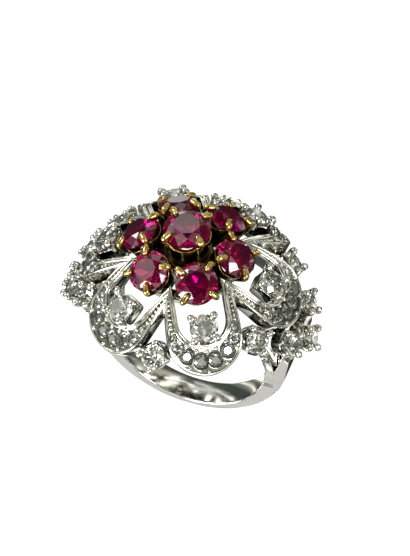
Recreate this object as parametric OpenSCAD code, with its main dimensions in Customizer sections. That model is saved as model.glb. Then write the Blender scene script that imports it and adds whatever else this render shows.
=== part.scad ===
// Flower cluster ring: a white metal frame of six openwork petals on a plain shank,
// with seven rubies in yellow gold claws and old cut diamonds in white claws.
// The ring is drawn worn, with the finger along Y, the shoulders along X and the head up,
// from the centre of the head's dome. It is then laid on its side, as it would lie on a table.

/* [Finger and shank] */
// Radius of the finger hole
finger_r = 8.3; // [8.1:0.1:8.4]
// How far the finger hole's centre lies below the dome's centre
finger_drop = 1.3; // [1.2:0.05:1.4]
// Outer radius of the shank
shank_r = 10.7; // [10.5:0.1:10.9]
// How far the outer circle of the shank stands above the finger hole's centre
shank_rise = 1.55; // [1.3:0.05:1.6]
// Width of the shank along the finger
shank_w = 2.9; // [2.6:0.1:3.4]
// Width of each inner shoulder bar
bar_w = 1.2; // [1:0.1:1.5]

/* [Head] */
// Radius of the dome that the petals lie on
dome_r = 13.6; // [13.4:0.1:13.8]
// Tilt of each petal from the top of the head
petal_tilt = 40; // [38:1:42]
// Half the width inside the loop of a petal
loop_r = 2.47; // [2.4:0.01:2.55]
// Width of the loop's polished rim
loop_w = 0.52; // [0.45:0.01:0.6]
// Half the width of a petal at its widest
petal_r = 3.77; // [3.7:0.01:3.85]
// Width of the thin wall round a petal
wall_w = 0.28; // [0.24:0.01:0.34]

/* [Rubies] */
// Diameter of the middle ruby
mid_ruby_d = 4.9; // [4.7:0.1:5]
// Height of the middle ruby's table above the dome's centre
mid_ruby_h = 16.9; // [16.7:0.1:17]
// Diameter of the six outer rubies
ruby_d = 4.3; // [4.1:0.1:4.4]
// Distance of an outer ruby's table from the middle axis
ruby_out = 5.6; // [5.5:0.01:5.7]
// Height of an outer ruby's table above the dome's centre
ruby_up = 14.25; // [14.1:0.05:14.4]
// Outward tilt of an outer ruby
ruby_tilt = 33; // [31:1:35]

/* [Diamonds] */
// Diameter of the diamond inside each petal
petal_dia_d = 2.9; // [2.7:0.1:3]
// Diameter of the diamond between two petals
gap_dia_d = 2.5; // [2.3:0.1:2.6]
// Diameter of the diamonds on the shoulders
side_dia_d = 2.5; // [2.3:0.1:2.6]
// Diameter of the larger stones in a petal's row
row_d = 1.3; // [1.1:0.05:1.3]

/* [Lying pose] */
// Lean of the head's axis above the table when the ring lies on its side
lie_angle = 29.4; // [28:0.1:31]
// Roll to the side about the head's axis, because the ring lies on one claw and one petal
lie_roll = 14.6; // [13:0.1:16]

/* [Hidden] */
$fn = 48;

// Directions from the dome's centre, as a tilt from the top and a turn about it
petal_turns = [for (k = [0:5]) 60 * k];
gap_turns = [for (k = [0:5]) 60 * k + 30];
gap_tilt = 52.4;
// The three diamonds of a shoulder, as tilt and turn
side_spots = [[64.7, -13.5], [73.5, 0], [64.7, 13.5]];
sides = [0, 180];

// Distances of the tables from the dome's centre, along each stone's own direction
petal_dia_h = 14.7;
petal_dia_tilt = 39;
gap_dia_h = 13.9;
side_dia_h = 13.9;

// Proportions of a cut stone, as shares of its diameter
table_share = 0.56;
crown_share = 0.17;
girdle_share = 0.04;
pavilion_share = 0.4;
// Sides of a main stone and of a small one
main_sides = 12;
small_sides = 8;

// Petal outline, in the petal's own plane, with u pointing outwards
loop_u = -1.07;
petal_u = 0.8;
petal_in = -5.6;
horn_r = 22.7;
far = 14.6;
near = 9.4;
// Layers of a petal, as distances from the dome's centre, and half the reach of its bend
loop_top = dome_r + 0.12;
loop_base = 11.8;
wall_top = dome_r - 0.1;
wall_base = 12.05;
floor_top = dome_r - 0.25;
floor_base = floor_top - 0.6;
petal_reach = 6;
petal_start = 4.4;
// Half of a petal's sector, a little under 30 degrees, and the post that joins two neighbours
sector = 29.4;
post_r = 0.45;
post_tilt = 25.5;
post_z = [11.65, 13.15];

// The row of stones in a petal lies halfway between its loop and its outer wall, on an
// ellipse whose foci are the centres of those two circles
row_turns = [-84, -66, -42, -13.5, 13.5, 42, 66, 84];
row_h = dome_r - 0.05;
row_edge = 0.1;
row_a = (loop_r + loop_w + petal_r - wall_w) / 2;
row_c = (petal_u - loop_u) / 2;
row_b = sqrt(row_a * row_a - row_c * row_c);

// Claws: wire, bead, lean, gap to the stone, length below the girdle and above it
claw_wire = 0.2;
claw_tip = 0.32;
gold_wire = 0.22;
gold_tip = 0.35;
claw_lean = 27;
claw_gap = 0.08;
claw_foot = 0.4;
claw_lap = 0.1;
// Place of a bead outside the girdle and above it, as shares of its radius
bead_out = 0.6;
bead_up = 1.1;
// Settings, as shares of the stone: depth of the seat, hole through it, side of a square one
seat_share = 0.34;
bore_share = 0.385;
box_share = 0.84;
seat_gap = 0.05;
// Heights of the settings
mid_depth = 2.6;
ruby_depth = 2;
petal_depth = 1.5;
gap_depth = 1.5;
side_depth = 1.4;
// The short bar that joins a square setting to its loop
link_x = [1, 1.9];
link_z = [12.3, 12.9];
link_w = 1;
// How near the finger the head may come
path_r = finger_r - 0.22;
path_sides = 16;
// Outer radius of the round settings between the petals and on the shoulders
gap_tube_r = 1.45;
side_tube_r = 1.3;

// Hub ring of the frame and the gold plate above it
hub_in = 3.9;
hub_out = 5.1;
hub_z = [10.3, 11.1];
plate_in = 0.9;
plate_out = 2.6;
plate_z = [12.2, 12.9];
gold_cut = hub_z[1] + seat_gap;
mid_turn = 52.6;

// Shoulders: heights and distances from the dome's centre, seen along the finger
fork_z = -3.5;
lap = 0.4;
bar_arc = 13;
bar_foot = -0.2;
bar_top = 6.3;
bar_out = 9.2;
outer_side = 7.5;
outer_foot = [8.95, -2.4];
outer_bend = [10.7, 2.4];
outer_top = [12.2, 3.6];
outer_lip = 0.3;
flare_start = 0.5;
flare_top = 4.9;
flare_w = 5.6;
// How far a cut runs past a face
past = 1;

// Height of the dome's centre above the table, and the shift that centres the lying ring
lie_drop = 6.855;
lie_shift = [0.36, 2.952];

metal = [0.8, 0.8, 0.79];
gold = [0.85, 0.65, 0.25];
ruby = [0.65, 0.03, 0.2];
diamond = [0.85, 0.88, 0.88];

// Lays the worn ring on its side, resting on a claw, a petal and the shank, centred on the table
module lay() {
    translate([lie_shift[0], lie_shift[1], lie_drop])
    rotate([90 - lie_angle, -lie_roll, 0])
    rotate([0, 0, 180])
    children();
}

// Places a thing on the ray with this tilt and turn, this far from the dome's centre
module aim(tilt, turn, h) {
    rotate([0, 0, turn])
    rotate([0, tilt, 0])
    translate([0, 0, h])
    children();
}

// Places a thing at an outer ruby's table
module aim_ruby(turn) {
    rotate([0, 0, turn])
    translate([ruby_out, 0, ruby_up])
    rotate([0, ruby_tilt, 0])
    children();
}

function ring_points(r, z, n) = [for (i = [0:n - 1]) [r * cos(360 * i / n), r * sin(360 * i / n), z]];

// A cut stone with its table at height 0 and its culet below
module stone(d, n) {
    crown = crown_share * d;
    girdle = girdle_share * d;
    rings = concat(
        ring_points(table_share * d / 2, 0, n),
        ring_points(d / 2, -crown, n),
        ring_points(d / 2, -crown - girdle, n),
        [[0, 0, -crown - girdle - pavilion_share * d]]);
    bands = [for (r = [0:1]) for (i = [0:n - 1])
        [r * n + i, r * n + (i + 1) % n, (r + 1) * n + (i + 1) % n, (r + 1) * n + i]];
    point = [for (i = [0:n - 1]) [2 * n + i, 2 * n + (i + 1) % n, 3 * n]];
    table = [[for (i = [0:n - 1]) n - 1 - i]];
    polyhedron(rings, concat(table, bands, point));
}

// One claw: a wire that leans out past the girdle and a bead that bends over the crown
module claw(d, wire, tip) {
    translate([d / 2, 0, -(crown_share + girdle_share) * d])
    rotate([0, claw_lean, 0])
    translate([wire + claw_gap, 0, -claw_foot * d])
    cylinder(h = (claw_foot + girdle_share) * d + wire + claw_lap, r = wire);
    translate([d / 2 + bead_out * tip, 0, bead_up * tip - crown_share * d])
    sphere(r = tip);
}

module claws(d, wire, tip, start) {
    for (k = [0:3])
        rotate([0, 0, start + 90 * k])
        claw(d, wire, tip);
}

// A round setting: a short tube under the girdle, with four claws
module round_setting(d, tube_r, depth, wire, tip, start) {
    translate([0, 0, -seat_share * d - depth])
    difference() {
        cylinder(h = depth, r = tube_r);
        translate([0, 0, -past])
        cylinder(h = depth + 2 * past, r = bore_share * d);
    }
    claws(d, wire, tip, start);
}

// The short bar that joins a square setting to the outer end of its loop
module link() {
    translate([link_x[0], -link_w / 2, link_z[0]])
    cube([link_x[1] - link_x[0], link_w, link_z[1] - link_z[0]]);
}

// A square box setting with a claw at each corner
module box_setting(d, depth, wire, tip) {
    side = box_share * d;
    translate([0, 0, -seat_share * d - depth])
    difference() {
        translate([-side / 2, -side / 2, 0])
        cube([side, side, depth]);
        translate([0, 0, -past])
        cylinder(h = depth + 2 * past, r = bore_share * d);
    }
    claws(d, wire, tip, 45);
}

// A wall bent about the lateral axis of a petal, concentric with the dome
module bent_wall(outer, inner) {
    rotate([0, petal_tilt, 0])
    rotate([90, 0, 0])
    translate([0, 0, -petal_reach])
    difference() {
        cylinder(h = 2 * petal_reach, r = outer, $fn = 96);
        cylinder(h = 5 * petal_reach, r = inner, center = true, $fn = 96);
    }
}

// The loop of a petal, as a long U with a round outer end
module loop_outline(r) {
    translate([loop_u, 0])
    circle(r = r);
    translate([petal_in, -r])
    square([loop_u - petal_in, 2 * r]);
}

// The whole petal: a round outer end, with sides that draw in slowly to the hub
module petal_outline(inset) {
    r = petal_r - inset;
    side = horn_r - inset;
    translate([petal_u, 0])
    circle(r = r);
    intersection() {
        translate([petal_u, petal_r - horn_r])
        circle(r = side, $fn = 96);
        translate([petal_u, horn_r - petal_r])
        circle(r = side, $fn = 96);
        translate([petal_in, -r])
        square([petal_u - petal_in, 2 * r]);
    }
}

module petal_prism() {
    rotate([0, petal_tilt, 0])
    translate([0, 0, near])
    linear_extrude(far - near)
    children();
}

module petal_sector() {
    linear_extrude(far)
    polygon([[0, 0], [far, -far * tan(sector)], [far, far * tan(sector)]]);
}

// Place and diameter of the stone at this turn along a petal's row
function row_u(t) = (loop_u + petal_u) / 2 + row_a * cos(t);
function row_v(t) = row_b * sin(t);
function row_size(t) = min(row_d, 2 * (row_a + row_c * cos(t) - loop_r - loop_w - row_edge));

// One petal: the polished loop, the thin outer wall and the pierced floor that holds the row
module petal() {
    intersection() {
        difference() {
            petal_sector();
            cylinder(h = 3 * far, r = petal_start, center = true);
        }
        union() {
            intersection() {
                bent_wall(loop_top, loop_base);
                petal_prism()
                difference() {
                    loop_outline(loop_r + loop_w);
                    loop_outline(loop_r);
                }
            }
            intersection() {
                bent_wall(wall_top, wall_base);
                petal_prism()
                difference() {
                    petal_outline(0);
                    petal_outline(wall_w);
                }
            }
            intersection() {
                bent_wall(floor_top, floor_base);
                petal_prism()
                difference() {
                    petal_outline(wall_w / 2);
                    loop_outline(loop_r + loop_w / 2);
                    for (t = row_turns)
                        translate([row_u(t), row_v(t)])
                        circle(r = row_size(t) / 2 + seat_gap);
                }
            }
        }
    }
}

// The two circles of the shank, seen along the finger
module finger_circle() {
    translate([0, -finger_drop])
    circle(r = finger_r, $fn = 96);
}

module shank_circle() {
    translate([0, shank_rise - finger_drop])
    circle(r = shank_r, $fn = 96);
}

module extrude_y(w) {
    rotate([90, 0, 0])
    translate([0, 0, -w / 2])
    linear_extrude(w)
    children();
}

module extrude_x(w) {
    rotate([90, 0, 90])
    translate([0, 0, -w / 2])
    linear_extrude(w)
    children();
}

// The way of the finger, which the head leaves free
module finger_path() {
    corner = path_r / cos(180 / path_sides);
    rotate([90, 0, 0])
    translate([0, 0, -1.5 * far])
    linear_extrude(3 * far)
    polygon([for (i = [0:path_sides - 1])
        [corner * cos(360 * (i + 0.5) / path_sides), corner * sin(360 * (i + 0.5) / path_sides) - finger_drop]]);
}

// Inner bars of both shoulders: they follow the finger, then stand straight, and spread apart
module inner_bars() {
    intersection() {
        extrude_y(2 * bar_arc)
        difference() {
            translate([-bar_out, fork_z - lap])
            square([2 * bar_out, bar_top - fork_z + lap]);
            finger_circle();
            translate([lap / 4 - finger_r, bar_foot])
            square([2 * finger_r - lap / 2, far]);
        }
        extrude_x(2 * far)
        for (m = [-1, 1])
            intersection() {
                difference() {
                    translate([m * (bar_arc + shank_w / 2), fork_z])
                    circle(r = bar_arc + bar_w, $fn = 96);
                    translate([m * (bar_arc + shank_w / 2), fork_z])
                    circle(r = bar_arc, $fn = 96);
                }
                translate([m > 0 ? 0 : -far / 2, fork_z - lap])
                square([far / 2, far]);
            }
    }
}

// Holes under the three diamonds of a shoulder
module side_bores() {
    depth = seat_share * side_dia_d + side_depth;
    for (p = side_spots)
        aim(p[0], p[1], side_dia_h - depth)
        cylinder(h = depth, r = bore_share * side_dia_d);
}

// The shank seen along the finger, with the outer bars that lean out to carry the shoulder diamonds
module shank_outline() {
    difference() {
        union() {
            intersection() {
                shank_circle();
                translate([-far, -far])
                square([2 * far, far + outer_lip]);
            }
            for (m = [0, 1])
                mirror([m, 0])
                polygon([[outer_side, 0], [shank_r, 0], outer_top,
                    [outer_top[0] - outer_lip, flare_top], [outer_side, flare_top]]);
        }
        finger_circle();
        for (m = [0, 1])
            mirror([m, 0])
            polygon([[-past, outer_foot[1] - 2 * outer_lip], [outer_side - past, outer_foot[1] - 2 * outer_lip],
                outer_foot, outer_bend, [outer_bend[0], flare_top + past], [-past, flare_top + past]]);
    }
}

// The plain shank and the outer bar of each shoulder, which widens upwards
module shank() {
    intersection() {
        extrude_y(flare_w)
        shank_outline();
        extrude_x(2 * far)
        polygon([[-shank_w / 2, -far], [shank_w / 2, -far], [shank_w / 2, flare_start],
            [flare_w / 2, flare_top], [-flare_w / 2, flare_top], [-shank_w / 2, flare_start]]);
    }
}

module hub() {
    translate([0, 0, hub_z[0]])
    difference() {
        cylinder(h = hub_z[1] - hub_z[0], r = hub_out);
        translate([0, 0, -past])
        cylinder(h = hub_z[1] - hub_z[0] + 2 * past, r = hub_in);
    }
}

// A setting between two petals
module gap_setting(turn) {
    aim(gap_tilt, turn, gap_dia_h)
    round_setting(gap_dia_d, gap_tube_r, gap_depth, claw_wire, claw_tip, 0);
}

module frame() {
    color(metal)
    lay() {
        inner_bars();
        difference() {
            shank();
            for (s = sides)
                rotate([0, 0, s])
                side_bores();
        }
        for (s = sides)
            rotate([0, 0, s])
            for (p = side_spots)
                aim(p[0], p[1], side_dia_h)
                round_setting(side_dia_d, side_tube_r, side_depth, claw_wire, claw_tip, 0);
        union() {
            hub();
            for (t = petal_turns)
                union() {
                    rotate([0, 0, t])
                    petal();
                    aim(petal_dia_tilt, t, petal_dia_h)
                    box_setting(petal_dia_d, petal_depth, claw_wire, claw_tip);
                    aim(petal_dia_tilt, t, 0)
                    link();
                }
        }
        for (t = gap_turns)
            union() {
                aim(post_tilt, t, post_z[0])
                cylinder(h = post_z[1] - post_z[0], r = post_r);
                if (t % 180 == 90)
                    difference() {
                        gap_setting(t);
                        finger_path();
                    }
                else
                    gap_setting(t);
            }
    }
}

// The gold cluster: a small cup and four claws for each ruby, joined by a plate
module ruby_setting() {
    color(gold)
    lay()
    difference() {
        union() {
            translate([0, 0, plate_z[0]])
            difference() {
                cylinder(h = plate_z[1] - plate_z[0], r = plate_out);
                translate([0, 0, -past])
                cylinder(h = plate_z[1] - plate_z[0] + 2 * past, r = plate_in);
            }
            translate([0, 0, mid_ruby_h])
            round_setting(mid_ruby_d, mid_ruby_d / 2, mid_depth, gold_wire, gold_tip, mid_turn);
            for (t = petal_turns)
                aim_ruby(t)
                round_setting(ruby_d, ruby_d / 2, ruby_depth, gold_wire, gold_tip, 45);
        }
        cylinder(h = gold_cut, r = far);
    }
}

module ruby_middle() {
    color(ruby)
    lay()
    translate([0, 0, mid_ruby_h])
    stone(mid_ruby_d, main_sides);
}

module outer_ruby(k) {
    color(ruby)
    lay()
    aim_ruby(petal_turns[k])
    stone(ruby_d, main_sides);
}

module petal_diamond(k) {
    color(diamond)
    lay()
    aim(petal_dia_tilt, petal_turns[k], petal_dia_h)
    stone(petal_dia_d, main_sides);
}

module gap_diamond(k) {
    color(diamond)
    lay()
    aim(gap_tilt, gap_turns[k], gap_dia_h)
    stone(gap_dia_d, main_sides);
}

module shoulder_diamond(k) {
    spot = side_spots[k % 3];
    color(diamond)
    lay()
    rotate([0, 0, sides[floor(k / 3)]])
    aim(spot[0], spot[1], side_dia_h)
    stone(side_dia_d, main_sides);
}

// The graded row of stones round the outer end of one petal
module diamond_row(k) {
    color(diamond)
    lay()
    rotate([0, 0, petal_turns[k]])
    rotate([0, petal_tilt, 0])
    for (t = row_turns) {
        size = row_size(t);
        rotate([0, asin(row_u(t) / (row_h - crown_share * size)), 0])
        translate([0, row_v(t), row_h])
        stone(size, small_sides);
    }
}

frame();
ruby_setting();
ruby_middle();
for (k = [0:5]) {
    outer_ruby(k);
    petal_diamond(k);
    gap_diamond(k);
    shoulder_diamond(k);
    diamond_row(k);
}
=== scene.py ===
import types
from math import asin, cos, hypot, pi, radians, sin, sqrt, tan, tau

import bmesh
import bpy
import numpy as np
from mathutils import Matrix, Vector


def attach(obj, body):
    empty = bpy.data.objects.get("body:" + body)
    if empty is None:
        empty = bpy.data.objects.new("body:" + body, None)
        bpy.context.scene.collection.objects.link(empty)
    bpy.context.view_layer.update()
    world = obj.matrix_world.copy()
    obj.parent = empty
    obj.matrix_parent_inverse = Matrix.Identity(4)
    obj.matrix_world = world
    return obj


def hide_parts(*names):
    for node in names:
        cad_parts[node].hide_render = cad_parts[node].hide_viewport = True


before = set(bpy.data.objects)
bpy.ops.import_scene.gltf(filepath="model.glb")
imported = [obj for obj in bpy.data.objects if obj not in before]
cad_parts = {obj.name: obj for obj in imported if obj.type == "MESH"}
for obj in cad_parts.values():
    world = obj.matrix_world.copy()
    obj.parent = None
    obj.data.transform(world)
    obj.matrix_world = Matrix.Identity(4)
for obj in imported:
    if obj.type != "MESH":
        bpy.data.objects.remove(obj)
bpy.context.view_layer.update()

bl_info = {
    "name": "Flower Cluster Ring",
    "version": (1, 0, 0),
    "blender": (4, 5, 0),
    "location": "View3D > Sidebar > Ring",
    "description": "Builds the fine look of a flower cluster ring over its solids",
    "category": "Add Mesh",
}

# The ring is drawn worn, in millimetres from the centre of the head's dome, with the finger along Y,
# the shoulders along X and the head up. It is then laid on its side in metres, as its solids lie.
MM = 0.001
LIE_ANGLE = 29.4
LIE_ROLL = 14.6
LIE_PLACE = (0.36, 2.952, 6.855)
PETALS = 6
PETAL_STEP = tau / PETALS
HALF_SECTOR = PETAL_STEP / 2
PETAL_TURNS = [60 * k for k in range(PETALS)]
GAP_TURNS = [60 * k + 30 for k in range(PETALS)]
MERGE_MM = 0.002

# Where the diamonds sit: tilts and turns in degrees, and heights of their tables from the dome's centre
PETAL_DIAMOND_TILT = 39
PETAL_DIAMOND_HEIGHT = 14.7
GAP_DIAMOND_TILT = 52.4
DIAMOND_HEIGHT = 13.9
SIDE_SPOTS = [(64.7, -13.5), (73.5, 0.0), (64.7, 13.5)]
SIDE_TURNS = (0, 180)

# Centres, along a petal, of the round ends of its loop and of its outer wall
LOOP_U = -1.07
PETAL_U = 0.8

# A petal's small stones: their turns in degrees, the metal at their sides and the height of their tables
ROW_TURNS = [-84, -66, -42, -13.5, 13.5, 42, 66, 84]
ROW_EDGE = 0.1
ROW_HEIGHT = 13.55

# A setting's top below its stone's table and its bore, as shares of the diameter, and how far a white
# claw reaches in past the girdle
SEAT = 0.34
BORE = 0.385
REACH = 0.06

# The middle of the photograph: a height on the head's axis, moved to the camera's right and down
VIEW_HEIGHT = 16
VIEW_RIGHT = 1.797
VIEW_DOWN = 4.88


def metres(name, description, default):
    """A length that a user can change."""
    return bpy.props.FloatProperty(name=name, description=description, default=default, unit="LENGTH")


def degrees(name, description, default):
    """An angle that a user can change, given here in degrees."""
    return bpy.props.FloatProperty(name=name, description=description, default=radians(default),
                                   subtype="ANGLE", unit="ROTATION")


def fraction(name, description, default):
    """A share of a stone's diameter that a user can change."""
    return bpy.props.FloatProperty(name=name, description=description, default=default, subtype="FACTOR")


def rgb(name, description, default):
    """A colour that a user can change."""
    return bpy.props.FloatVectorProperty(name=name, description=description, default=default, size=3,
                                         subtype="COLOR")


class RingPetals(bpy.types.PropertyGroup):
    """Sizes of the six openwork petals"""
    tilt: degrees("Tilt", "Tilt of each petal from the top of the head", 40)
    loop_radius: metres("Loop radius", "Half the width inside a petal's loop", 0.00247)
    loop_width: metres("Loop width", "Width of the loop's polished rim", 0.00052)
    loop_top: metres("Loop top", "Height of the rim above the dome's centre", 0.01374)
    loop_base: metres("Loop base", "Height of the loop's lower edge", 0.0118)
    groove: metres("Groove", "Depth of the groove between the rim's two ridges", 0.00018)
    petal_radius: metres("Petal radius", "Half the width of a petal", 0.00377)
    horn_radius: metres("Horn radius", "Radius of a petal's long sides", 0.0227)
    wall_width: metres("Wall width", "Width of the thin outer wall", 0.00028)
    wall_top: metres("Wall top", "Height of the outer wall", 0.01352)
    wall_base: metres("Wall base", "Lower edge of the outer wall", 0.01205)
    floor_top: metres("Floor top", "Height of the floor round the small stones", 0.01336)
    floor_base: metres("Floor base", "Underside of that floor", 0.01275)
    grain: metres("Grain", "Radius of the metal grains between the stones", 0.00021)


class RingShank(bpy.types.PropertyGroup):
    """Sizes of the shank and its shoulders"""
    finger_radius: metres("Finger radius", "Radius of the finger hole", 0.0083)
    finger_drop: metres("Finger drop", "Finger hole's centre below the dome's centre", 0.0013)
    shank_radius: metres("Shank radius", "Outer radius of the shank", 0.0107)
    shank_rise: metres("Shank rise", "Outer circle's centre above the finger hole's", 0.00155)
    shank_width: metres("Shank width", "Width along the finger", 0.0029)
    edge: metres("Edge", "Rounding of the shank's edges", 0.00018)
    crown: metres("Crown", "Swell of the shank's outer face", 0.00012)


class RingStones(bpy.types.PropertyGroup):
    """Sizes and proportions of the cut stones"""
    middle_ruby: metres("Middle ruby", "Diameter of the middle ruby", 0.0049)
    middle_height: metres("Middle height", "Height of its table", 0.0169)
    outer_ruby: metres("Outer ruby", "Diameter of the six outer rubies", 0.0043)
    ruby_out: metres("Ruby distance", "Outer ruby's distance from the axis", 0.0056)
    ruby_up: metres("Ruby height", "Height of an outer ruby's table", 0.01425)
    ruby_tilt: degrees("Ruby tilt", "Outward tilt of an outer ruby", 33)
    petal_diamond: metres("Petal diamond", "Diameter of the diamond in a petal", 0.0029)
    gap_diamond: metres("Gap diamond", "Diameter of the diamond between petals", 0.0025)
    side_diamond: metres("Shoulder diamond", "Diameter of a shoulder diamond", 0.0025)
    row_diamond: metres("Row diamond", "Largest diameter in a petal's row", 0.00141)
    table: fraction("Table", "Table as a share of the diameter", 0.56)
    crown: fraction("Crown", "Crown's height as a share of the diameter", 0.17)
    girdle: fraction("Girdle", "Girdle's height as a share of the diameter", 0.04)
    pavilion: fraction("Pavilion", "Pavilion's depth as a share of the diameter", 0.4)
    culet: fraction("Culet", "Culet as a share of the diameter", 0.07)


class RingClaws(bpy.types.PropertyGroup):
    """Sizes of the settings and their claws"""
    wire: metres("Wire", "Radius of a claw's wire", 0.00021)
    tip: metres("Tip", "Radius of a white claw's tip", 0.00034)
    big_tip: metres("Petal tip", "Radius of the tips on a petal's diamond", 0.0004)
    gold_tip: metres("Gold tip", "Radius of a gold claw's tip", 0.00036)
    bevel: metres("Bevel", "Rounding of a setting's edges", 0.00008)
    scallop: metres("Scallop", "How far a gold cup rises at its claws", 0.00035)


class RingFinish(bpy.types.PropertyGroup):
    """Colours of the metals and stones, with the painted shade of the metals in the head's recesses"""
    white: rgb("White metal", "Polished white metal", (0.77, 0.77, 0.71))
    shank: rgb("Shank", "The shank's brushed metal", (0.90, 0.89, 0.86))
    floor: rgb("Floor", "Metal round the small stones", (0.30, 0.30, 0.26))
    # Painted shade: the white metal's dark colour in the head's recesses, where shade falls
    patina: rgb("Patina", "White metal in the recesses", (0.09, 0.10, 0.08))
    gold: rgb("Gold", "Polished yellow gold", (0.72, 0.52, 0.18))
    # Painted shade: the gold's dark colour down among the rubies' cups, where shade falls
    dark_gold: rgb("Dark gold", "Gold in the recesses", (0.10, 0.07, 0.025))
    ruby: rgb("Ruby", "Body of a ruby", (0.48, 0.001, 0.075))
    diamond: rgb("Diamond", "Body of a diamond", (0.93, 0.94, 0.90))


class RingStage(bpy.types.PropertyGroup):
    """Camera and light"""
    elevation: degrees("Elevation", "Camera's height above the head's plane", 50.2)
    turn: degrees("Turn", "Camera's turn about the head's axis", 22.6)
    roll: degrees("Roll", "Camera's roll", 3.2)
    distance: metres("Distance", "Camera's distance", 0.6)
    image_height: metres("Image height", "Height that the image shows", 0.0556)
    world: bpy.props.FloatProperty(
        name="World", description="Strength of the room's light", default=1.0)


def in_mm(group):
    """The values of a property group, with its lengths in millimetres."""
    values = {}
    for p in group.bl_rna.properties:
        if p.identifier in ("rna_type", "name"):
            continue
        value = getattr(group, p.identifier)
        if getattr(p, "unit", "NONE") == "LENGTH":
            value = value / MM
        values[p.identifier] = value
    return types.SimpleNamespace(**values)


def settings():
    """The sizes of the petals, the shank, the stones and the claws, with lengths in millimetres."""
    scene = bpy.context.scene
    groups = (scene.ring_petals, scene.ring_shank, scene.ring_stones, scene.ring_claws)
    return [in_mm(group) for group in groups]


def spin(angle, axis="Z"):
    """A turn about an axis by an angle in degrees."""
    return Matrix.Rotation(radians(angle), 4, axis)


def lay_matrix():
    """Takes the worn ring, in millimetres, to where it lies, in metres."""
    place = Matrix.Scale(MM, 4) @ Matrix.Translation(LIE_PLACE)
    return place @ spin(-LIE_ROLL, "Y") @ spin(90 - LIE_ANGLE, "X") @ spin(180)


def aim(tilt, turn, height):
    """A frame on the ray with this tilt and turn in degrees, this far from the dome's centre."""
    return spin(turn) @ spin(tilt, "Y") @ Matrix.Translation((0, 0, height))


def middle_ruby_frame(stones):
    return Matrix.Translation((0, 0, stones.middle_height))


def outer_ruby_frames(stones):
    centre = Matrix.Translation((stones.ruby_out, 0, stones.ruby_up))
    place = centre @ Matrix.Rotation(stones.ruby_tilt, 4, "Y")
    return [spin(t) @ place for t in PETAL_TURNS]


def petal_diamond_frames():
    return [aim(PETAL_DIAMOND_TILT, t, PETAL_DIAMOND_HEIGHT) for t in PETAL_TURNS]


def gap_diamond_frames():
    return [aim(GAP_DIAMOND_TILT, t, DIAMOND_HEIGHT) for t in GAP_TURNS]


def side_diamond_frames():
    return [spin(side) @ aim(tilt, turn, DIAMOND_HEIGHT) for side in SIDE_TURNS for tilt, turn in SIDE_SPOTS]


def placed(part, matrix):
    """A part's points moved by a matrix."""
    m = np.array(matrix)
    return part[0] @ m[:3, :3].T + m[:3, 3], part[1]


def joined(parts):
    """Several parts as one, each still closed on its own."""
    points, faces, start = [], [], 0
    for p, f in parts:
        points.append(p)
        faces += [tuple(start + i for i in face) for face in f]
        start += len(p)
    return np.vstack(points), faces


def loft(rings, closed=False):
    """Faces between rings of equally many points, with flat ends unless the rings close on themselves."""
    rings = np.asarray(rings, float)
    count, size = rings.shape[:2]
    faces = []
    for i in range(count if closed else count - 1):
        a, b = i * size, (i + 1) % count * size
        faces += [(a + k, a + (k + 1) % size, b + (k + 1) % size, b + k) for k in range(size)]
    if not closed:
        faces.append(tuple(range(size))[::-1])
        faces.append(tuple((count - 1) * size + k for k in range(size)))
    return rings.reshape(-1, 3), faces


def rounded(corners, radii, steps=4):
    """A closed outline with each of its corners rounded off, by less than half of either side."""
    limit = 0.48
    corners = [np.array(c, float) for c in corners]
    count, outline = len(corners), []
    for i, here in enumerate(corners):
        before, after = corners[i - 1] - here, corners[(i + 1) % count] - here
        reach = min(radii[i], limit * np.linalg.norm(before), limit * np.linalg.norm(after))
        start = here + before / np.linalg.norm(before) * reach
        end = here + after / np.linalg.norm(after) * reach
        for t in np.linspace(0, 1, steps + 1):
            outline.append((1 - t) ** 2 * start + 2 * t * (1 - t) * here + t * t * end)
    return np.array(outline)


def smooth_path(points, steps):
    """A smooth line through points of any size, with a cubic curve for each stretch."""
    points = np.array(points, float)
    padded = np.vstack([2 * points[0] - points[1], points, 2 * points[-1] - points[-2]])
    line = []
    for i in range(1, len(padded) - 2):
        a, b, c, d = padded[i - 1:i + 3]
        for t in np.arange(steps) / steps:
            line.append(0.5 * (2 * b + (c - a) * t + (2 * a - 5 * b + 4 * c - d) * t * t
                               + (3 * b - a - 3 * c + d) * t ** 3))
    line.append(points[-1])
    return np.array(line)


def wire(points, sides=14, steps=5, cap=4):
    """A wire in the XZ plane with round ends; each point is x, z and the radius there."""
    line = smooth_path(points, steps)
    along = np.gradient(line[:, :2], axis=0)
    along /= np.linalg.norm(along, axis=1)[:, None]
    flat_tip = 0.25
    start_cap = np.linspace(flat_tip, pi / 2, cap)[:-1]
    end_cap = np.linspace(pi / 2, flat_tip, cap)[1:]
    stations = [(line[0], along[0], -cos(a), sin(a)) for a in start_cap]
    stations += [(p, t, 0.0, 1.0) for p, t in zip(line, along)]
    stations += [(line[-1], along[-1], cos(a), sin(a)) for a in end_cap]
    angles = np.arange(sides) * tau / sides
    rings = []
    for p, t, push, share in stations:
        centre = p[:2] + t * push * p[2]
        normal = np.array([-t[1], t[0]])
        across = np.cos(angles)[:, None] * normal * p[2] * share + centre
        rings.append(np.stack([across[:, 0], np.sin(angles) * p[2] * share, across[:, 1]], 1))
    return loft(rings)


def lathe(outline, segments, shape=None, lift=None):
    """A closed outline of (radius, height) turned about Z. shape gives the outer radius at an angle, and lift
    how far the top rises there."""
    inner, outer = outline[:, 0].min(), outline[:, 0].max()
    low, high = outline[:, 1].min(), outline[:, 1].max()
    rings = []
    for a in np.arange(segments) * tau / segments:
        reach = outer if shape is None else shape(a)
        r = inner + (outline[:, 0] - inner) * (reach - inner) / (outer - inner)
        rise = 0 if lift is None else lift(a) * (outline[:, 1] - low) / (high - low)
        rings.append(np.stack([r * cos(a), r * sin(a), outline[:, 1] + rise], 1))
    return loft(rings, closed=True)


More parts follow.
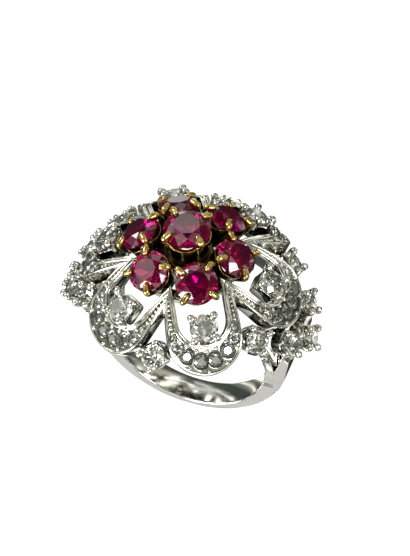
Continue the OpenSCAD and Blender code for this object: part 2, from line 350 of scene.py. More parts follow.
def flat_ring(inner, outer, low, high, edge):
    """A flat ring about the head's axis with rounded edges."""
    corners = [(inner, low), (outer, low), (outer, high), (inner, high)]
    return lathe(rounded(corners, [edge] * 4), 72)


def face_outwards(mesh):
    """Turns all faces of a closed mesh outwards."""
    work = bmesh.new()
    work.from_mesh(mesh)
    bmesh.ops.recalc_face_normals(work, faces=work.faces)
    work.to_mesh(mesh)
    work.free()


def mesh_from(name, part, sharp=35):
    """A mesh with its faces outwards, smooth up to the sharp angle, or flat if that is None."""
    mesh = bpy.data.meshes.new(name)
    mesh.from_pydata(part[0].tolist(), [], part[1])
    face_outwards(mesh)
    if sharp is not None:
        mesh.shade_smooth()
        mesh.set_sharp_from_angle(angle=radians(sharp))
    return mesh


def add_object(name, data):
    """A new object in the scene."""
    made = bpy.data.objects.new(name, data)
    bpy.context.scene.collection.objects.link(made)
    return made


def new_group(kind, name, inputs, outputs):
    """An empty node group, the sockets that it is given and its end node. A socket's label goes with its type
    or its default."""
    tree = bpy.data.node_groups.new(name, kind + "NodeTree")
    for way, sockets in (("OUTPUT", outputs), ("INPUT", inputs)):
        for label, value in sockets.items():
            socket_type = value if isinstance(value, str) else type(value).__name__.capitalize()
            socket = tree.interface.new_socket(name=label, in_out=way, socket_type="NodeSocket" + socket_type)
            if not isinstance(value, str):
                socket.default_value = value
    return tree, tree.nodes.new("NodeGroupInput").outputs, tree.nodes.new("NodeGroupOutput")


def shared(name, make):
    """The node group of this name, which is made on its first use."""
    return bpy.data.node_groups.get(name) or make(name)


def fill(node, inputs):
    """Gives a node's inputs their values, or links those that come as another node's output."""
    for key, value in inputs.items():
        if isinstance(value, bpy.types.NodeSocket):
            node.id_data.links.new(value, node.inputs[key])
        else:
            node.inputs[key].default_value = value


def output(tree, kind, name, inputs=None, **options):
    """An output of a new node with these options and inputs."""
    node = tree.nodes.new(kind)
    for key, value in options.items():
        setattr(node, key, value)
    fill(node, inputs or {})
    return node.outputs[name]


def maths(tree, operation, first, second, **options):
    """The result of an operation on two values or outputs."""
    return output(tree, "ShaderNodeMath", 0, {0: first, 1: second}, operation=operation, **options)


def mixed(tree, mask, first, second):
    """The first colour where the mask is 0 and the second where it is 1."""
    inputs = {"Factor": mask, "A": first, "B": second}
    return output(tree, "ShaderNodeMix", "Result", inputs, data_type="RGBA")


def real_copies(tree, points, piece, turn, **inputs):
    """Real copies of a piece on points, each turned by the three angles of its point."""
    inputs["Rotation"] = output(tree, "FunctionNodeEulerToRotation", "Rotation", {"Euler": turn})
    copies = output(tree, "GeometryNodeInstanceOnPoints", "Instances", {
        "Points": points, "Instance": piece, **inputs})
    return output(tree, "GeometryNodeRealizeInstances", "Geometry", {"Geometry": copies})


def painted(tree, given, result, geometry):
    """A geometry tree, ended with its geometry in the given material."""
    inputs = {"Geometry": geometry, "Material": given["Material"]}
    fill(result, {"Geometry": output(tree, "GeometryNodeSetMaterial", "Geometry", inputs)})
    return tree


def frames_tree(name):
    """Sets a piece on each point, turned by the point's turn and scaled by its size."""
    tree, given, result = new_group("Geometry", name, {
        "Geometry": "Geometry", "Piece": "Object", "Scale": 1.0, "Material": "Material"},
        {"Geometry": "Geometry"})
    named = "GeometryNodeInputNamedAttribute"
    turn = output(tree, named, "Attribute", {"Name": "turn"}, data_type="FLOAT_VECTOR")
    size = output(tree, named, "Attribute", {"Name": "size"}, data_type="FLOAT")
    scale = maths(tree, "MULTIPLY", size, given["Scale"])
    source = output(tree, "GeometryNodeObjectInfo", "Geometry", {
        "Object": given["Piece"], "As Instance": True})
    return painted(tree, given, result, real_copies(tree, given["Geometry"], source, turn, Scale=scale))


def turns_tree(name):
    """Repeats a piece round the head's axis and merges where neighbours meet."""
    tree, given, result = new_group("Geometry", name, {
        "Geometry": "Geometry", "Count": PETALS, "Turn": PETAL_STEP, "Merge Distance": MERGE_MM,
        "Material": "Material"}, {"Geometry": "Geometry"})
    line = output(tree, "GeometryNodeMeshLine", "Mesh", {"Count": given["Count"], "Offset": (0, 0, 0)})
    index = output(tree, "GeometryNodeInputIndex", "Index")
    angle = maths(tree, "MULTIPLY", index, given["Turn"])
    turn = output(tree, "ShaderNodeCombineXYZ", "Vector", {"Z": angle})
    merged = output(tree, "GeometryNodeMergeByDistance", "Geometry", {
        "Geometry": real_copies(tree, line, given["Geometry"], turn), "Distance": given["Merge Distance"]})
    return painted(tree, given, result, merged)


def run_tree(tree, mesh, values):
    """The plain mesh that a geometry tree makes from a mesh."""
    carrier = add_object("carrier", mesh)
    modifier = carrier.modifiers.new("Repeat", "NODES")
    modifier.node_group = tree
    for item in tree.interface.items_tree:
        if item.in_out == "INPUT" and item.name in values:
            modifier[item.identifier] = values[item.name]
    bpy.context.view_layer.update()
    graph = bpy.context.evaluated_depsgraph_get()
    made = bpy.data.meshes.new_from_object(carrier.evaluated_get(graph))
    carrier.modifiers.remove(modifier)
    bpy.data.objects.remove(carrier)
    return made


def set_on_frames(mesh, frames, material, sizes=None):
    """One mesh with a copy of the given mesh on each frame."""
    points = bpy.data.meshes.new("frames")
    points.from_pydata([tuple(f.translation) for f in frames], [], [])
    turn = points.attributes.new("turn", "FLOAT_VECTOR", "POINT")
    turn.data.foreach_set("vector", [c for f in frames for c in f.to_euler("XYZ")])
    size = points.attributes.new("size", "FLOAT", "POINT")
    size.data.foreach_set("value", sizes or [1.0] * len(frames))
    source = add_object("source", mesh)
    tree = shared("Ring set on frames", frames_tree)
    made = run_tree(tree, points, {"Piece": source, "Scale": 1.0, "Material": material})
    bpy.data.objects.remove(source)
    for name in ("turn", "size"):
        if name in made.attributes:
            made.attributes.remove(made.attributes[name])
    return made


def repeat_round_head(mesh, material):
    """One mesh of all six turns of a petal's part, closed where the petals meet."""
    made = run_tree(shared("Ring repeat round head", turns_tree), mesh, {
        "Count": PETALS, "Turn": PETAL_STEP, "Merge Distance": MERGE_MM, "Material": material})
    face_outwards(made)
    return made


def piece(name, mesh, material, node, slot):
    """A finished piece that lies with the ring and stands for a solid's node."""
    mesh.transform(lay_matrix())
    mesh.name = name
    mesh.materials.clear()
    mesh.materials.append(material)
    made = add_object(name, mesh)
    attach(made, "root")
    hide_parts(node)


def shader(name, inputs):
    """A new material, its node tree and its Principled BSDF with these inputs."""
    material = bpy.data.materials.new(name)
    material.use_nodes = True
    surface = material.node_tree.nodes["Principled BSDF"]
    fill(surface, inputs)
    return material, material.node_tree, surface


def recess_group(name):
    """A mask of how deep a point lies under the head's dome, broken up by noise: where the metals take their
    painted shade.
    """
    tree, given, result = new_group(
        "Shader", name, {"Inner": 11.5 * MM, "Outer": 13.3 * MM, "Break Up": 0.25}, {"Mask": "Float"})
    place = output(tree, "ShaderNodeTexCoord", "Object")
    centre = [c * MM for c in LIE_PLACE]
    away = output(tree, "ShaderNodeVectorMath", "Value", {0: place, 1: centre}, operation="DISTANCE")
    depth = output(tree, "ShaderNodeMapRange", "Result", {
        "Value": away, "From Min": given["Inner"], "From Max": given["Outer"], "To Min": 1, "To Max": 0},
        interpolation_type="SMOOTHSTEP")
    noise = output(tree, "ShaderNodeTexNoise", "Fac", {"Vector": place, "Scale": 900, "Detail": 4})
    spread = maths(tree, "MULTIPLY", maths(tree, "SUBTRACT", noise, 0.5), given["Break Up"])
    fill(result, {"Mask": maths(tree, "ADD", depth, spread, use_clamp=True)})
    return tree


def wear_group(name):
    """Fine scratches and soft dents of worn polished metal, as a height and a roughness."""
    tree, given, result = new_group(
        "Shader", name, {"Smooth": 0.08, "Rough": 0.2}, {"Height": "Float", "Roughness": "Float"})
    place = output(tree, "ShaderNodeTexCoord", "Object")
    stretched = output(tree, "ShaderNodeMapping", "Vector", {
        "Vector": place, "Scale": (1, 6, 1), "Rotation": (0.3, 0.5, 0.9)})
    scratches = output(tree, "ShaderNodeTexNoise", "Fac", {"Vector": stretched, "Scale": 3500, "Detail": 3})
    dents = output(tree, "ShaderNodeTexNoise", "Fac", {"Vector": place, "Scale": 420, "Detail": 2})
    rough = output(tree, "ShaderNodeMapRange", "Result", {
        "Value": dents, "From Min": 0.35, "From Max": 0.65, "To Min": given["Smooth"],
        "To Max": given["Rough"]})
    height = maths(tree, "ADD", maths(tree, "MULTIPLY", scratches, 0.15), dents)
    fill(result, {"Height": height, "Roughness": rough})
    return tree


def metal_material(name, bright, dark, smooth, rough, inner, outer):
    """Polished metal in two colours of the finish, dark up to the inner distance from the dome's centre and
    bright from the outer one; the dark colour is painted shade in the head's recesses."""
    if name in bpy.data.materials:
        return bpy.data.materials[name]
    finish = bpy.context.scene.ring_finish
    material, tree, metal = shader(name, {"Metallic": 1})
    recess = output(tree, "ShaderNodeGroup", "Mask", {"Inner": inner * MM, "Outer": outer * MM},
                    node_tree=shared("Ring recess", recess_group))
    wear = output(tree, "ShaderNodeGroup", "Roughness", {"Smooth": smooth, "Rough": rough},
                  node_tree=shared("Ring wear", wear_group))
    bump = output(tree, "ShaderNodeBump", "Normal", {
        "Strength": 0.25, "Distance": 0.02 * MM, "Height": wear.node.outputs["Height"]})
    # Painted shade: the depth mask mixes in the dark colour where the head's hollows lie in shade
    colour = mixed(tree, recess, (*getattr(finish, bright), 1), (*getattr(finish, dark), 1))
    fill(metal, {"Base Color": colour, "Roughness": wear, "Normal": bump})
    return material


# Each metal below goes from painted shade to its own colour between its inner and outer distance, in
# millimetres from the dome's centre
def white_metal():
    return metal_material("White metal", "white", "patina", smooth=0.05, rough=0.12, inner=12.2, outer=13.6)


def shank_metal():
    return metal_material("Shank metal", "shank", "patina", smooth=0.06, rough=0.16, inner=2.0, outer=4.0)


def loop_metal():
    return metal_material("Loop metal", "white", "patina", smooth=0.04, rough=0.1, inner=13.35, outer=13.74)


def floor_metal():
    return metal_material("Floor metal", "floor", "patina", smooth=0.1, rough=0.25, inner=12.9, outer=13.9)


def yellow_gold():
    return metal_material("Yellow gold", "gold", "dark_gold", smooth=0.1, rough=0.2, inner=13.4, outer=16.0)


def stone_material(name, colour, shade, ior, clear, gloss):
    """A faceted stone with uneven colour inside."""
    if name in bpy.data.materials:
        return bpy.data.materials[name]
    material, tree, glass = shader(name, {
        "Roughness": 0.01, "IOR": ior, "Transmission Weight": clear, "Specular IOR Level": gloss})
    place = output(tree, "ShaderNodeTexCoord", "Object")
    zones = output(tree, "ShaderNodeTexNoise", "Fac", {"Vector": place, "Scale": 520, "Detail": 3})
    spread = output(tree, "ShaderNodeMapRange", "Result", {"Value": zones, "From Min": 0.4, "From Max": 0.6})
    fill(glass, {"Base Color": mixed(tree, spread, (*colour, 1), (*shade, 1))})
    return material


def ruby_material():
    colour = bpy.context.scene.ring_finish.ruby
    shade = (0.22, 0.0, 0.09)
    return stone_material("Ruby", colour, shade, ior=1.77, clear=0.85, gloss=0.15)


def diamond_material():
    colour = bpy.context.scene.ring_finish.diamond
    shade = (0.80, 0.82, 0.74)
    return stone_material("Old cut diamond", colour, shade, ior=2.42, clear=0.94, gloss=0.5)


def cut_stone(stones, diameter):
    """A round brilliant of eight mains with a small culet, its table at height 0."""
    star_share, lower_share = 0.45, 0.5
    radius = diameter / 2
    table = stones.table * radius
    crown = stones.crown * diameter
    top = -crown
    low = top - stones.girdle * diameter
    depth = stones.pavilion * diameter
    half = pi / 8
    star = table + star_share * (radius - table)
    star_z = -crown * (star * cos(half) - table) / (radius - table)
    lower = lower_share * radius
    lower_z = low - depth * (1 - lower * cos(half) / radius)
    culet = stones.culet * diameter / 2
    culet_z = low - depth * (1 - culet * cos(half) / radius)

    def ring(r, z, count, start=0.0):
        angles = start + np.arange(count) * tau / count
        return np.stack([r * np.cos(angles), r * np.sin(angles), np.full(count, z)], 1)

    points = np.vstack([
        ring(table, 0, 8), ring(star, star_z, 8, half), ring(radius, top, 16), ring(radius, low, 16),
        ring(lower, lower_z, 8, half), ring(culet, culet_z, 8, half)])
    t, s, g, b, p, c = 0, 8, 16, 32, 48, 56
    faces = [tuple(range(8)), tuple(c + k for k in range(8))[::-1]]
    for k in range(8):
        after, before = (k + 1) % 8, (k - 1) % 8
        left, right, next_main = g + 2 * k, g + 2 * k + 1, g + 2 * after
        faces += [
            (t + k, t + after, s + k),
            (t + k, s + before, left, s + k),
            (s + k, left, right),
            (s + k, right, next_main),
            (left, b + 2 * k, b + 2 * k + 1, right),
            (right, b + 2 * k + 1, b + 2 * after, next_main),
            (p + k, b + 2 * k, b + 2 * k + 1),
            (p + k, b + 2 * k + 1, b + 2 * after),
            (b + 2 * k, p + before, c + before, c + k, p + k)]
    return points, faces


def petal_point(petals, u, v, h):
    """A petal's point in the worn frame: u outwards, v sideways and h from the axis that it bends about."""
    up = np.sqrt(h * h - u * u)
    c, s = cos(petals.tilt), sin(petals.tilt)
    return np.stack(np.broadcast_arrays(u * c + up * s, v, up * c - u * s), -1)


def loop_mitre(petals, v, h):
    """Where a straight line at v meets the plane between two petals."""
    out = abs(v) / tan(HALF_SECTOR)
    return h * sin(asin(out / h) - petals.tilt)


def loop_side(petals, offset, h, share):
    """A point of the loop's arm, from the mitre at share 0 to the start of its round end at share 1."""
    v = petals.loop_radius + offset
    start = loop_mitre(petals, v, h)
    return start + (LOOP_U - start) * share, v


def loop_end(petals, offset, angle):
    r = petals.loop_radius + offset
    return LOOP_U + r * cos(angle), r * sin(angle)


def wall_v(petals, offset, u):
    """Half the petal's width at u, measured to this offset inside its outer edge."""
    radius = petals.horn_radius - offset
    return sqrt(radius ** 2 - (u - PETAL_U) ** 2) - (petals.horn_radius - petals.petal_radius)


def wall_side(petals, offset, h, share):
    """A point of the wall's long side, found by halving where it meets the plane between petals."""
    low, high, halvings = -6.0, PETAL_U, 40
    for _ in range(halvings):
        u = (low + high) / 2
        out = h * sin(asin(u / h) + petals.tilt) * tan(HALF_SECTOR)
        if wall_v(petals, offset, u) > out:
            low = u
        else:
            high = u
    u = high + (PETAL_U - high) * share
    return u, wall_v(petals, offset, u)


def wall_end(petals, offset, angle):
    r = petals.petal_radius - offset
    return PETAL_U + r * cos(angle), r * sin(angle)


def petal_stations(arm_steps, arc_steps):
    """Stations along a petal's edge from one mitre to the other: an arm's sign and share, or 0 and the end's
    angle."""
    stations = [(-1, share) for share in np.linspace(0, 1, arm_steps + 1)[:-1]]
    stations += [(0, angle) for angle in np.linspace(-pi / 2, pi / 2, arc_steps + 1)]
    return stations + [(1, share) for share in np.linspace(1, 0, arm_steps + 1)[1:]]


def edge_point(petals, side, end, offset, h, station):
    """A point of the edge with these functions for its sides and its end, at a station."""
    sign, value = station
    if sign == 0:
        return end(petals, offset, value)
    u, v = side(petals, offset, h, value)
    return u, sign * v


def petal_band(petals, outline, side, end, stations):
    """A band with an outline of (offset, height) along a petal's edge, its ends open for the merge."""
    rings = []
    for station in stations:
        places = [(*edge_point(petals, side, end, offset, h, station), h) for offset, h in outline]
        rings.append([petal_point(petals, *place) for place in places])
    points, faces = loft(rings)
    return points, faces[:-2]


def petal_loops(petals):
    """The polished loops: a U with two fine ridges on top, mitred where the petals meet."""
    w, top, base = petals.loop_width, petals.loop_top, petals.loop_base
    valley, shoulder = top - petals.groove, top - 0.04
    corners = [(0, base), (w, base), (w, shoulder), (0.72 * w, top), (0.5 * w, valley), (0.28 * w, top),
               (0, shoulder)]
    outline = rounded(corners, [0.06, 0.06, 0.12, 0.07, 0.05, 0.07, 0.12], 3)
    return petal_band(petals, outline, loop_side, loop_end, petal_stations(14, 48))


def petal_walls(petals):
    """The thin outer walls round the petals."""
    w, top, base = petals.wall_width, petals.wall_top, petals.wall_base
    outline = rounded([(0, base), (w, base), (w, top), (0, top)], [0.05, 0.05, 0.12, 0.12], 4)
    return petal_band(petals, outline, wall_side, wall_end, petal_stations(14, 44))


def row_curve(petals):
    """Half axes and focus of the ellipse between a petal's loop and its outer wall."""
    a = (petals.loop_radius + petals.loop_width + petals.petal_radius - petals.wall_width) / 2
    c = (PETAL_U - LOOP_U) / 2
    return a, sqrt(a * a - c * c), c


def row_place(petals, turn):
    """Place on that ellipse at a turn in degrees, and half the room across it."""
    a, b, c = row_curve(petals)
    t = radians(turn)
    room = a + c * cos(t) - petals.loop_radius - petals.loop_width
    return (LOOP_U + PETAL_U) / 2 + a * cos(t), b * sin(t), room


def row_stones(petals, stones):
    """Place and diameter of each small stone of a petal."""
    found = []
    for turn in ROW_TURNS:
        u, v, room = row_place(petals, turn)
        found.append((u, v, min(stones.row_diamond, 2 * (room - ROW_EDGE))))
    return found


def row_frames(petals, stones, turn):
    """Frames and diameters of one petal's small stones, bent to the dome."""
    frames, sizes = [], []
    for u, v, size in row_stones(petals, stones):
        lean = asin(u / (ROW_HEIGHT - stones.crown * size))
        place = Matrix.Rotation(lean, 4, "Y") @ Matrix.Translation((0, v, ROW_HEIGHT))
        frames.append(spin(turn) @ Matrix.Rotation(petals.tilt, 4, "Y") @ place)
        sizes.append(size)
    return frames, sizes


def petal_floor(petals, stones):
    """The floor between loop and wall, with a bowl under each small stone."""
    inner, outer = petals.loop_width - 0.1, petals.wall_width - 0.08
    top, least_thickness = petals.floor_top, 0.05
    bowl_edge, bowl_slope, bowl_step = 0.05, 0.9, 0.03
    across = 15
    shares = np.linspace(0, 1, across)[:, None]
    rings = []
    for station in petal_stations(40, 120):
        start = np.array(edge_point(petals, loop_side, loop_end, inner, top, station))
        end = np.array(edge_point(petals, wall_side, wall_end, outer, top, station))
        flat = start + (end - start) * shares
        h = np.full(across, top)
        for u, v, size in row_stones(petals, stones):
            away = np.hypot(flat[:, 0] - u, flat[:, 1] - v) - size / 2
            inside = away < bowl_edge
            h = np.minimum(h, top + np.where(inside, bowl_slope * (away - bowl_edge), 0) - bowl_step * inside)
        h = np.maximum(h, petals.floor_base + least_thickness)
        rings.append(np.vstack([petal_point(petals, *flat.T, h),
                                petal_point(petals, *flat[::-1].T, petals.floor_base)]))
    return loft(rings)


def grain_frames(petals, stones):
    """Frames and sizes of the metal grains of one petal: between its stones and up its two arms."""
    least_size, size_gain, full_stone, inset = 0.75, 0.3, 1.3, 0.8
    grains_up_arm, first_share, share_step, first_size, size_step = 7, 0.86, 0.12, 0.95, 0.07
    lift = 0.04
    places = []
    row = row_stones(petals, stones)
    a, b, _ = row_curve(petals)
    for k in range(len(row) - 1):
        turn = (ROW_TURNS[k] + ROW_TURNS[k + 1]) / 2
        u, v, room = row_place(petals, turn)
        t = radians(turn)
        normal = np.array([b * cos(t), a * sin(t)])
        normal /= np.linalg.norm(normal)
        size = least_size + size_gain * (min(row[k][2], row[k + 1][2]) / full_stone)
        for side in (-1, 1):
            shift = side * (room - inset * petals.grain)
            places.append((u + normal[0] * shift, v + normal[1] * shift, size))
    for sign in (-1, 1):
        for k in range(grains_up_arm):
            share = first_share - share_step * k
            u0, v0 = loop_side(petals, petals.loop_width, petals.floor_top, share)
            u1, v1 = wall_side(petals, petals.wall_width, petals.floor_top, share)
            places.append(((u0 + u1) / 2, sign * (v0 + v1) / 2, first_size - size_step * k))
    points = [petal_point(petals, u, v, petals.floor_top + lift) for u, v, _ in places]
    return [Matrix.Translation(p.tolist()) for p in points], [size * petals.grain for _, _, size in places]


def ball():
    """A small round grain of radius 1."""
    work = bmesh.new()
    bmesh.ops.create_icosphere(work, subdivisions=2, radius=1)
    mesh = bpy.data.meshes.new("grain")
    work.to_mesh(mesh)
    work.free()
    mesh.shade_smooth()
    return mesh


def four_claws(stones, claws, diameter, tip, start, reach=REACH):
    """Four claws that lean out under the girdle and bend over the crown, this far past the girdle."""
    edge, rim = diameter / 2, -stones.crown * diameter
    gap, drop, top = 0.25, 0.13, 0.36
    rise = 0.7 * (reach - REACH)
    line = [(edge + gap - 0.18 * diameter, rim - 0.4 * diameter - drop, claws.wire),
            (edge + gap, rim - 0.04 * diameter - drop, claws.wire),
            (edge + 0.30, rim + 0.14, 0.8 * tip),
            (edge + 0.14, rim + top, tip),
            (edge - reach, rim + top + rise, 0.85 * tip)]
    return [placed(wire(line), spin(start + 90 * k)) for k in range(4)]


def collet(claws, diameter, depth, foot, rim, segments, flare=0.0, **form):
    """A bored wall under a stone, from the foot's radius to the rim's. form goes on to the lathe."""
    top, bore = -SEAT * diameter, BORE * diameter
    corners = [(bore, top - depth), (foot, top - depth), (rim, top), (bore + flare, top)]
    return lathe(rounded(corners, [claws.bevel] * 4), segments, **form)


def round_setting(stones, claws, diameter, radius, depth):
    """A short tube with four claws, its stone's table at height 0."""
    tube = collet(claws, diameter, depth, 0.9 * radius, radius, 48)
    return joined([tube] + four_claws(stones, claws, diameter, claws.tip, 0))


def box_setting(stones, claws, diameter, depth):
    """A square collet with a claw at each corner, and a short bar to the outer end of its loop."""
    side, power = 0.42 * diameter, 7

    def square(angle):
        spread = abs(cos(angle)) ** power + abs(sin(angle)) ** power
        return side / spread ** (1 / power)

    box = collet(claws, diameter, depth, side, side, 80, shape=square)
    half, low, high, start, end = 0.5, -2.4, -1.8, 1.0, 1.9
    section = rounded([(-half, low), (half, low), (half, high), (-half, high)], [0.12] * 4)
    link = loft([[(x, y, z) for y, z in section] for x in (start, end)])
    return joined([box, link] + four_claws(stones, claws, diameter, claws.big_tip, 45))


def gold_cup(stones, claws, diameter, depth, start):
    """A gold cup whose rim rises in scallops to its four claws."""
    radius, first = diameter / 2, radians(start)

    def scallop(angle):
        return claws.scallop * (0.5 + 0.5 * cos(4 * (angle - first))) ** 2

    cup = collet(claws, diameter, depth, 0.86 * radius, radius, 72, flare=0.12, lift=scallop)
    return joined([cup] + four_claws(stones, claws, diameter, claws.gold_tip, start, reach=0.36))


def shank_band(shank):
    """The plain part of the shank, a D section swept round the finger between the two forks."""
    inner, drop = shank.finger_radius, shank.finger_drop
    outer, rise = shank.shank_radius, shank.shank_rise
    half, edge, crest = shank.shank_width / 2, shank.edge, 1.0
    fork_height, fork_radius = 3.3, 9.0
    fork = asin((fork_height - drop) / fork_radius)
    rings = []
    for a in np.linspace(pi + fork, tau - fork, 120):
        reach = rise * sin(a) + sqrt(outer ** 2 - (rise * cos(a)) ** 2)
        side = reach - shank.crown
        corners = [(inner, -half), (side, -half), (reach, 0), (side, half), (inner, half)]
        outline = rounded(corners, [edge, edge, crest, edge, edge], 4)
        r, y = outline[:, 0], outline[:, 1]
        rings.append(np.stack([r * cos(a), y, r * sin(a) - drop], 1))
    return loft(rings)


def bar(stations, edge):
    """A bar through stations of inner x and height, outer x and height, and the two ends along the finger."""
    rings = []
    for x0, z0, x1, z1, y0, y1 in stations:
        start, end = np.array([x0, z0]), np.array([x1, z1])
        wide = np.linalg.norm(end - start)
        outline = rounded([(0, y0), (wide, y0), (wide, y1), (0, y1)], [edge] * 4, 3)
        across = start + (end - start) * (outline[:, 0] / wide)[:, None]
        rings.append(np.stack([across[:, 0], outline[:, 1], across[:, 1]], 1))
    return loft(rings)


def inner_bar(shank, sign):
    """One inner bar of a shoulder: it follows the finger, then stands straight and spreads sideways."""
    low, straight, high = -4.1, -0.2, 6.3
    fork, bend, thick, side, outer = -3.5, 13.0, 1.2, 1.45, 9.2
    stations = []
    for z in np.linspace(low, high, 40):
        hole = sqrt(max(shank.finger_radius ** 2 - (z + shank.finger_drop) ** 2, 0))
        inner = hole if z < straight else shank.finger_radius - 0.1
        rise = max(z - fork, 0)
        near = bend + side - sqrt((bend + thick) ** 2 - rise ** 2)
        far = bend + side - sqrt(bend ** 2 - rise ** 2)
        stations.append((inner, z, outer, z, *sorted((sign * near, sign * far))))
    return bar(stations, 0.12)


def outer_bar():
    """The outer bar of a shoulder, which leans out and widens to carry three diamonds. Each station has the
    inner x and height, the outer x and height, and half the width along the finger."""
    line = smooth_path([
        (8.45, -4.5, 9.55, -4.5, 1.44), (8.8, -3.4, 10.02, -3.4, 1.45), (9.0, -2.3, 10.34, -2.4, 1.45),
        (9.5, -0.9, 10.62, -1.0, 1.45), (10.12, 0.8, 10.95, 0.6, 1.53), (10.63, 2.3, 11.6, 2.2, 2.05),
        (10.7, 3.7, 12.15, 3.6, 2.42), (10.7, 4.9, 11.9, 4.9, 2.8)], 4)
    return bar([(*place, -half, half) for *place, half in line], 0.14)


def clear_finger(mesh, shank):
    """Presses a mesh back from the finger's path, as the solids are cut there."""
    path = shank.finger_radius - 0.2
    for vertex in mesh.vertices:
        x, z = vertex.co.x, vertex.co.z + shank.finger_drop
        reach = hypot(x, z)
        if reach < path:
            vertex.co.x = x * path / reach
            vertex.co.z = z * path / reach - shank.finger_drop
    return mesh


def shank_piece(shank):
    """The shank with both forked shoulders and the hub ring that the petals stand on."""
    shoulder = joined([inner_bar(shank, -1), inner_bar(shank, 1), outer_bar()])
    hub = flat_ring(inner=3.9, outer=5.1, low=10.3, high=11.1, edge=0.2)
    return joined([shank_band(shank), shoulder, placed(shoulder, spin(180)), hub])


class RING_OT_shank(bpy.types.Operator):
    """Build the shank, its forked shoulders and the hub"""
    bl_idname = "ring.shank"
    bl_label = "Shank"

    def execute(self, context):
        _, shank, _, _ = settings()
        piece("shank", mesh_from("shank", shank_piece(shank)), shank_metal(), "frame", "white_metal")
        return {"FINISHED"}


class RING_OT_petals(bpy.types.Operator):
    """Build the six openwork petals with their floors and grains"""
    bl_idname = "ring.petals"
    bl_label = "Petals"

    def execute(self, context):
        petals, _, stones, _ = settings()
        parts = (
            ("petal_loops", petal_loops(petals), loop_metal(), 40),
            ("petal_walls", petal_walls(petals), white_metal(), 40),
            ("petal_floors", petal_floor(petals, stones), floor_metal(), 60))
        for name, part, metal, sharp in parts:
            mesh = repeat_round_head(mesh_from(name, part, sharp), metal)
            piece(name, mesh, metal, "frame", "white_metal")
        frames, sizes = grain_frames(petals, stones)
        turned = [spin(t) @ f for t in PETAL_TURNS for f in frames]
        grains = set_on_frames(ball(), turned, white_metal(), sizes * PETALS)
        piece("grains", grains, white_metal(), "frame", "white_metal")
        return {"FINISHED"}


class RING_OT_settings(bpy.types.Operator):
    """Build the white settings of the diamonds"""
    bl_idname = "ring.settings"
    bl_label = "White settings"

    def execute(self, context):
        _, shank, stones, claws = settings()
        metal = white_metal()
        kinds = (
            ("petal_settings", petal_diamond_frames(),
             box_setting(stones, claws, stones.petal_diamond, depth=1.5)),
            ("gap_settings", gap_diamond_frames(),
             round_setting(stones, claws, stones.gap_diamond, radius=1.45, depth=1.5)),
            ("shoulder_settings", side_diamond_frames(),
             round_setting(stones, claws, stones.side_diamond, radius=1.3, depth=1.4)))
        for name, frames, part in kinds:
            mesh = set_on_frames(mesh_from(name, part), frames, metal)
            piece(name, clear_finger(mesh, shank), metal, "frame", "white_metal")
        return {"FINISHED"}


class RING_OT_gold(bpy.types.Operator):
    """Build the gold cups and claws of the rubies, on their plate"""
    bl_idname = "ring.gold"
    bl_label = "Gold cups"

    def execute(self, context):
        _, _, stones, claws = settings()
        gold = yellow_gold()
        plate = flat_ring(inner=0.9, outer=2.6, low=12.2, high=12.9, edge=0.15)
        middle = gold_cup(stones, claws, stones.middle_ruby, depth=2.6, start=52.6)
        centre = mesh_from("gold_middle", joined([plate, placed(middle, middle_ruby_frame(stones))]))
        piece("gold_middle", centre, gold, "ruby_setting", "yellow_gold")
        cup = mesh_from("gold_cups", gold_cup(stones, claws, stones.outer_ruby, depth=2.0, start=45))
        cups = set_on_frames(cup, outer_ruby_frames(stones), gold)
        lowest = 11.15
        for vertex in cups.vertices:
            vertex.co.z = max(vertex.co.z, lowest)
        piece("gold_cups", cups, gold, "ruby_setting", "yellow_gold")
        return {"FINISHED"}


class RING_OT_stones(bpy.types.Operator):
    """Cut the rubies and the diamonds"""
    bl_idname = "ring.stones"
    bl_label = "Stones"

    def execute(self, context):
        petals, _, stones, _ = settings()
        ruby, diamond = ruby_material(), diamond_material()
        kinds = (
            ("ruby_middle", [middle_ruby_frame(stones)], stones.middle_ruby, ruby, "ruby"),
            ("ruby_{}", outer_ruby_frames(stones), stones.outer_ruby, ruby, "ruby"),
            ("petal_diamond_{}", petal_diamond_frames(), stones.petal_diamond, diamond, "diamond"),
            ("gap_diamond_{}", gap_diamond_frames(), stones.gap_diamond, diamond, "diamond"),
            ("shoulder_diamond_{}", side_diamond_frames(), stones.side_diamond, diamond, "diamond"))
        for name, frames, diameter, material, slot in kinds:
            for k, place in enumerate(frames, 1):
                node = name.format(k)
                cut = mesh_from(node, placed(cut_stone(stones, diameter), place), None)
                piece("cut_" + node, cut, material, node, slot)
        for k, turn in enumerate(PETAL_TURNS, 1):
            frames, sizes = row_frames(petals, stones, turn)
            stone = mesh_from("small stone", cut_stone(stones, 1.0), None)
            node = f"diamond_row_{k}"
            piece("cut_" + node, set_on_frames(stone, frames, diamond, sizes), diamond, node, "diamond")
        return {"FINISHED"}


def camera_axes(stage):
    """Right, up and back of the camera in the worn frame."""
    c, s = cos(stage.roll), sin(stage.roll)
    low, high = cos(stage.elevation), sin(stage.elevation)
    turn = Matrix.Rotation(stage.turn, 3, "Z")
    axes = (Vector((c, -s * high, -s * low)), Vector((s, c * high, c * low)), Vector((0, -low, high)))
    return [turn @ a for a in axes]


def add_camera(stage):
    """A very long lens on the ring, framed as the photograph."""
    right, up, back = camera_axes(stage)
    target = Vector((0, 0, VIEW_HEIGHT)) + VIEW_RIGHT * right - VIEW_DOWN * up
    lay = lay_matrix()
    rotation = lay.to_3x3().normalized()
    data = bpy.data.cameras.new("camera")
    camera = add_object("camera", data)
    axes = [rotation @ a for a in (right, up, back)]
    turn = Matrix(axes).transposed().to_4x4()
    camera.matrix_world = Matrix.Translation(lay @ target + axes[2] * stage.distance) @ turn
    data.sensor_width = 36
    data.lens = data.sensor_width * stage.distance / stage.image_height
    data.clip_start = 0.01
    data.clip_end = 20
    bpy.context.scene.camera = camera


